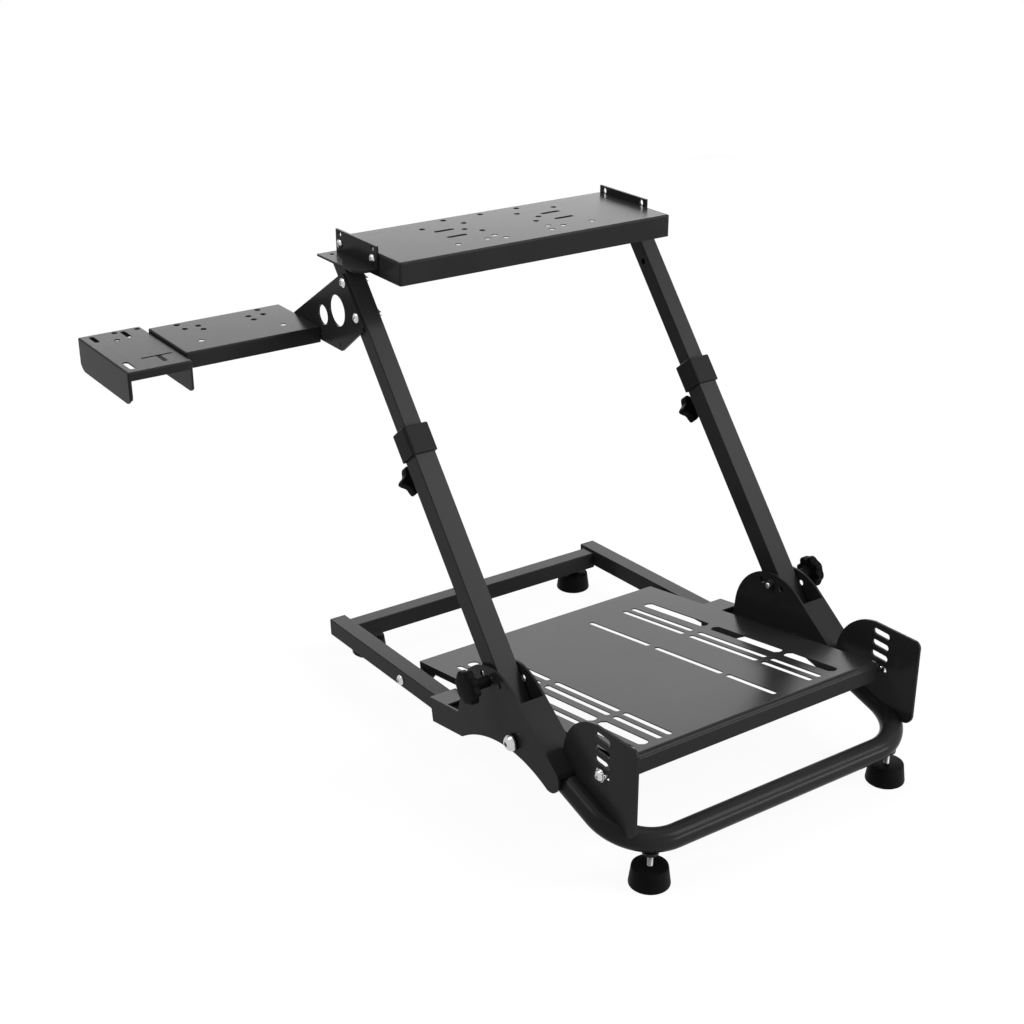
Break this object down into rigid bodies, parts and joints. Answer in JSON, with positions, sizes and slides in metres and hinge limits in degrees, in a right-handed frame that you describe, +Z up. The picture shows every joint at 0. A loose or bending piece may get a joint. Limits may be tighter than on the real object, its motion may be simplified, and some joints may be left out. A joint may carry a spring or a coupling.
{
  "type": "racing wheel stand",
  "caption": "Folding black steel stand with a slotted tilting pedal plate, telescopic leaning uprights, a drilled wheel deck and a side shelf for a shifter.",
  "frame": {"origin": "on the floor, under the middle of the stand's box with the shifter shelf on", "axes": "+Z up; +Y towards the driver; +X to the stand's plain side, away from the shifter shelf"},
  "size_m": [0.8198, 0.8416, 0.6465],
  "materials": {
    "black_steel": "satin black powder coat",
    "black_plastic": "fine-grained black moulding",
    "black_rubber": "dull black rubber",
    "zinc": "bright zinc plate"
  },
  "bodies": {
    "base": {"front_tube": "black_steel", "rear_cross_bar": "black_steel", "right_rail": "black_steel", "left_rail": "black_steel", "right_rail_plug": "black_plastic", "left_rail_plug": "black_plastic", "right_rear_foot": "black_rubber", "left_rear_foot": "black_rubber", "right_front_foot": "black_rubber", "left_front_foot": "black_rubber", "right_foot_stud": "zinc", "left_foot_stud": "zinc", "right_bracket": "black_steel", "left_bracket": "black_steel", "right_pivot_bolt": "zinc", "left_pivot_bolt": "zinc", "right_lock_knob": "black_plastic", "left_lock_knob": "black_plastic", "right_pedal_ear": "black_steel", "left_pedal_ear": "black_steel", "right_pedal_pivot": "zinc", "left_pedal_pivot": "zinc", "right_pedal_clamp": "zinc", "left_pedal_clamp": "zinc"},
    "pedal": {"pedal_plate": "black_steel"},
    "uprights": {"right_lower_tube": "black_steel", "left_lower_tube": "black_steel", "right_collar": "black_plastic", "left_collar": "black_plastic", "right_height_knob": "black_plastic", "left_height_knob": "black_plastic"},
    "upper": {"right_upper_tube": "black_steel", "left_upper_tube": "black_steel", "right_deck_angle": "black_steel", "left_deck_angle": "black_steel", "wheel_deck": "black_steel", "shifter_gusset": "black_steel", "shifter_shelf": "black_steel", "shifter_saddle": "black_steel"}
  },
  "joints": [
    {"name": "fold", "type": "hinge", "parent": "base", "child": "uprights", "pos_m": [0.11903, -0.19442, 0.111], "axis": [-1, 0, 0], "range_deg": [-26, 36]},
    {"name": "height", "type": "slide", "parent": "uprights", "child": "upper", "axis": [0, 0.6347, 0.7727], "range_m": [-0.125, 0.1]},
    {"name": "pedal_tilt", "type": "hinge", "parent": "base", "child": "pedal", "pos_m": [0.11903, 0.09922, 0.05427], "axis": [-1, 0, 0], "range_deg": [0, 6.4]}
  ]
}
